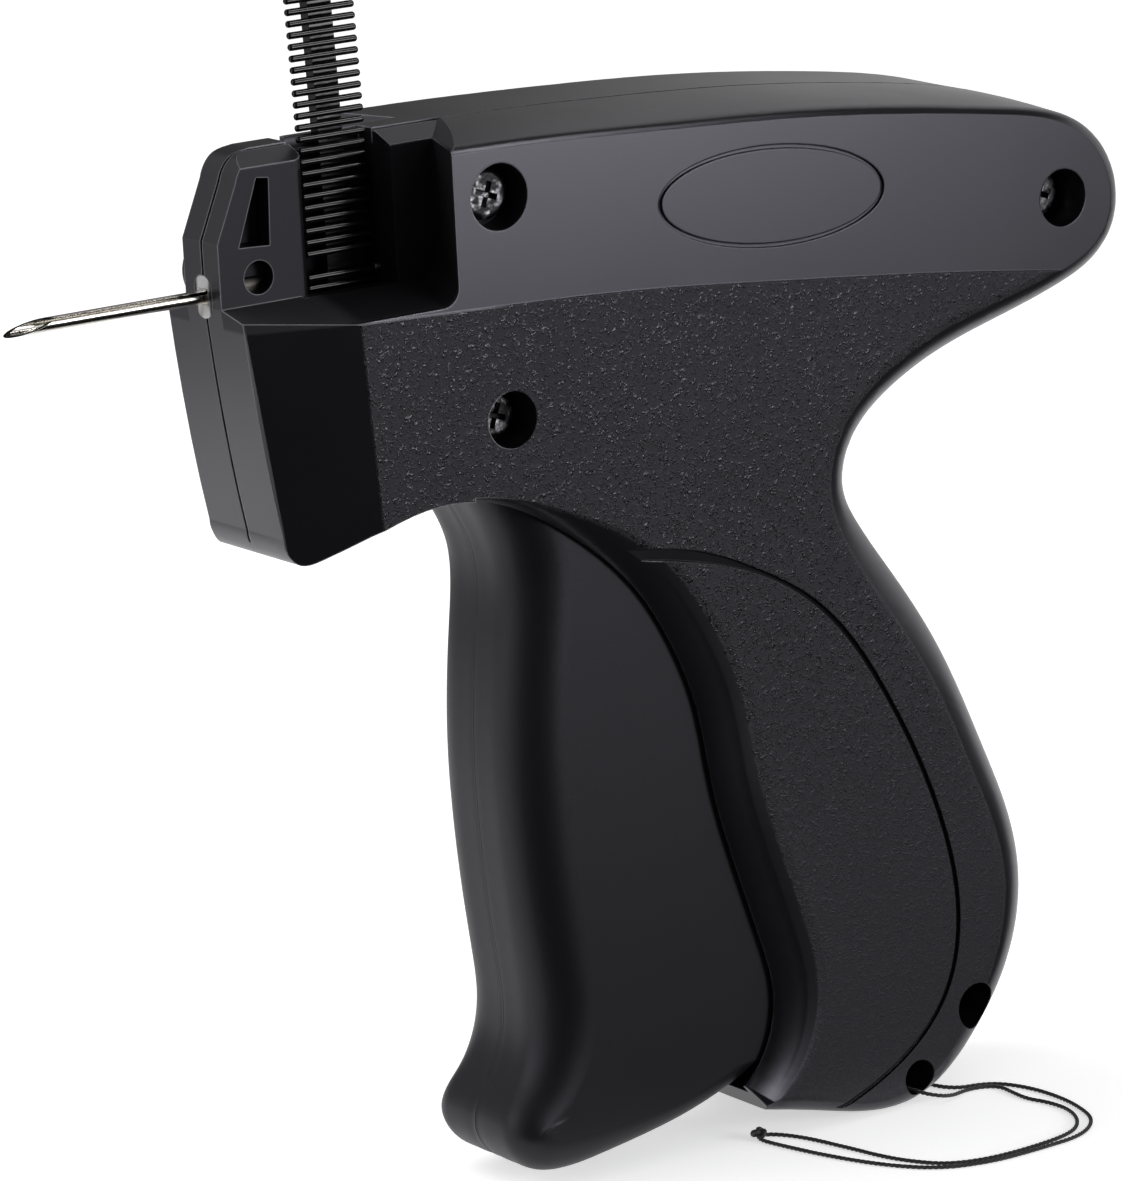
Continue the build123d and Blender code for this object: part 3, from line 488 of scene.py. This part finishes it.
def black_oxide_steel():
    """blackened screw steel: dark and oily, scuffed to bare metal on high spots"""
    f = Finish("steel_black_oxide", OXIDE_BLACK, Metallic=0.85)
    patches = f.add("TexNoise", None, f.place, Scale=per_mm(1.4), Roughness=0.6)
    scuffs = f.add("MapRange", SMOOTH, patches, 0.45, 0.62)
    colour = f.add("Mix", TWO_COLOURS, scuffs, _6=linear(OXIDE_BLACK), _7=linear("#77777a"), output=2)
    dents = f.add("TexNoise", None, f.place, Scale=per_mm(0.4))
    normal = f.add("Bump", Height=dents, Distance=0.05 * MM, Normal=f.add("Bevel", EDGE_SAMPLES, 0.12 * MM))
    f.fill(f.shader, Base_Color=colour, Normal=normal,
           Roughness=f.add("Math", TIMES_PLUS, scuffs, -0.12, 0.42))
    return f.material


def twisted_polyester():
    """black polyester yarn, twisted: matt filaments with a soft sheen at a low angle"""
    f = Finish("polyester_twisted", "#121214", IOR=1.5, Roughness=0.62, Sheen_Weight=0.25, Sheen_Roughness=0.5)
    filaments = f.add("TexNoise", None, f.stretched(4, 4), Scale=per_mm(0.09), Detail=1.0)
    patches = f.add("TexNoise", None, f.place, Scale=per_mm(0.8))
    colour = f.add("Mix", TWO_COLOURS, patches, _6=linear("#0c0c0e"), _7=linear("#1f1f22"), output=2)
    f.fill(f.shader, Base_Color=colour, Normal=f.add("Bump", Height=filaments, Distance=0.02 * MM))
    return f.material


# the ground steel parts get painted shade on their sides
ground_steel = drawn_steel("steel_ground", "#c9c9ca", 0.3, 0.15, 0.12, shaded_sides=True)
finishes = {
    grained_abs(): ("left_housing", "right_housing"),
    satin_abs(): ("trigger",),
    bright_polypropylene(): ("fastener_tbars", "fastener_runner", "chambered_fastener"),
    natural_acetal(): ("slider", "drive_lever", "feed_wheel"),
    black_acetal(): ("needle_lock_knob",),
    drawn_steel("needle_steel_drawn", "#cfccc6", 0.14, 0.12, 0.05): ("needle",),
    ground_steel: ("needle_base", "cutter_blade", "feed_pawl", "stop_pawl"),
    drawn_steel("pin_steel_ground", "#b9b9bb", 0.22, 0.15, 0.1):
        ("lever_pivot_pin", "lever_drive_pin", "lever_crank_pin", "ejector_rod", "feed_wheel_axle"),
    black_oxide_steel(): ("housing_screws",),
}
for material, names in finishes.items():
    for name in names:
        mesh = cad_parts[name].data
        mesh.materials.clear()
        mesh.materials.append(material)
yarn = twisted_polyester()
for piece in (cord, knot):
    piece.data.materials.append(yarn)
coil.data.materials.append(ground_steel)


# ---- studio ----
AIM = Vector((0.055, 0.0, -0.03))
WHITE = (1, 1, 1, 1)
UPRIGHT = Matrix.Rotation(math.radians(90), 4, "X")
FACING_CAMERA = Matrix.Rotation(math.radians(CAMERA_AZIMUTH), 4, "Z") @ UPRIGHT
FLOOR_GLOW = 0.55                # keeps the floor white to what looks at it
WORLD_LIGHT, WORLD_SEEN = 0.45, 1.0
CARD_TO_REAR = (0.17, 0.37, 0.12, 0.75)     # from x to x, m, and its greys there
CARD_TO_FRONT = (0.08, -0.05, 0.12, 0.4)


def softbox(name, place, size, brightness):
    """an area lamp aimed at the object; its brightness is that of its face, where 1 is white"""
    data = bpy.data.lights.new(name, "AREA")
    data.shape = "RECTANGLE"
    data.size, data.size_y = size
    data.energy = brightness * math.pi * size[0] * size[1]
    lamp = new_object(name, data)
    lamp.visible_camera = False
    turn = (AIM - Vector(place)).to_track_quat("-Z", "Y").to_matrix().to_4x4()
    lamp.matrix_world = Matrix.Translation(place) @ turn
    return lamp


def sheet(name, size, matrix, material):
    """a flat stage piece"""
    mesh = bpy.data.meshes.new(name)
    made = bmesh.new()
    bmesh.ops.create_grid(made, x_segments=1, y_segments=1, size=0.5,
                          matrix=matrix @ Matrix.Diagonal((size[0], size[1], 1, 1)))
    made.to_mesh(mesh)
    made.free()
    mesh.materials.append(material)
    piece = new_object(name, mesh)
    return piece


def gloss_only(piece):
    """show it in glossy surfaces and nowhere else, so that it shapes the sheen and shades nothing"""
    for ray in ("camera", "diffuse", "shadow", "transmission"):
        setattr(piece, "visible_" + ray, False)


def laminate_floor():
    """white laminate, matt"""
    f = Finish("floor_laminate_white", "#eeeeee", Roughness=0.9, Specular_IOR_Level=0.1)
    rays = f.add("LightPath").node.outputs
    looked_at = f.add("Math", {"operation": "ADD"}, rays["Is Camera Ray"], rays["Is Glossy Ray"])
    looked_at = f.add("Math", {"operation": "ADD", "use_clamp": True}, looked_at, rays["Is Transmission Ray"])
    f.fill(f.shader, Emission_Color=WHITE, Emission_Strength=f.add("Math", TIMES, looked_at, FLOOR_GLOW))
    return f.material


def black_velvet():
    """velvet: it swallows light, so a glossy skin that faces it stays black"""
    return Finish("velvet_black", "#040404", Roughness=1.0, Specular_IOR_Level=0.0).material


def grey_card():
    """card that greys the top of the casing: dark in the middle, lighter towards both its ends"""
    f = Finish("card_grey", "#050505", Roughness=1.0, Specular_IOR_Level=0.0)
    x = f.add("SeparateXYZ", None, f.place, output="X")
    grey = f.add("Math", LARGER, f.add("MapRange", SMOOTH, x, *CARD_TO_REAR),
                 f.add("MapRange", SMOOTH, x, *CARD_TO_FRONT))
    f.fill(f.shader, Emission_Color=WHITE, Emission_Strength=grey)
    return f.material


def white_world():
    """white to what looks at it, a plain grey as a light"""
    world = bpy.data.worlds.new("white_studio")
    scene.world = world
    world.use_nodes = True
    sky = Nodes(world.node_tree)
    rays = sky.add("LightPath").node.outputs
    looked_at = sky.add("Math", LARGER, rays["Is Camera Ray"], rays["Is Glossy Ray"])
    looked_at = sky.add("Math", LARGER, looked_at, rays["Is Transmission Ray"])
    strength = sky.add("MapRange", None, looked_at, To_Min=WORLD_LIGHT, To_Max=WORLD_SEEN)
    sky.fill(world.node_tree.nodes["Background"], Color=WHITE, Strength=strength)


sheet("floor", (6, 6), Matrix.Translation((0, 0, FLOOR_Z)), laminate_floor())
softbox("softbox_right", (0.255, -0.43, 0.012), (0.26, 0.14), 9.5)
softbox("softbox_top", (-0.30, 0.40, 0.70), (0.6, 0.6), 2.4)
softbox("softbox_left", (-0.62, 0.35, 0.25), (0.6, 0.5), 2.0)
softbox("strip_lamp", (0.15, -0.10, 0.20), (0.09, 0.03), 15.0).visible_diffuse = False
velvet = black_velvet()
for stage_piece in (
    sheet("flag_floor", (1.6, 1.45), Matrix.Translation((0.30, -0.74, FLOOR_Z + 0.002)), velvet),
    sheet("flag_roof", (1.4, 0.62), Matrix.Translation((0.30, -0.14, 0.45)), velvet),
    sheet("flag_camera", (1.7, 1.6), Matrix.Translation((-0.62, -1.0, 0.2)) @ FACING_CAMERA, velvet),
    sheet("card_back", (1.6, 0.62), Matrix.Translation((0.25, 0.27, 0.20)) @ UPRIGHT, grey_card()),
):
    gloss_only(stage_piece)
white_world()
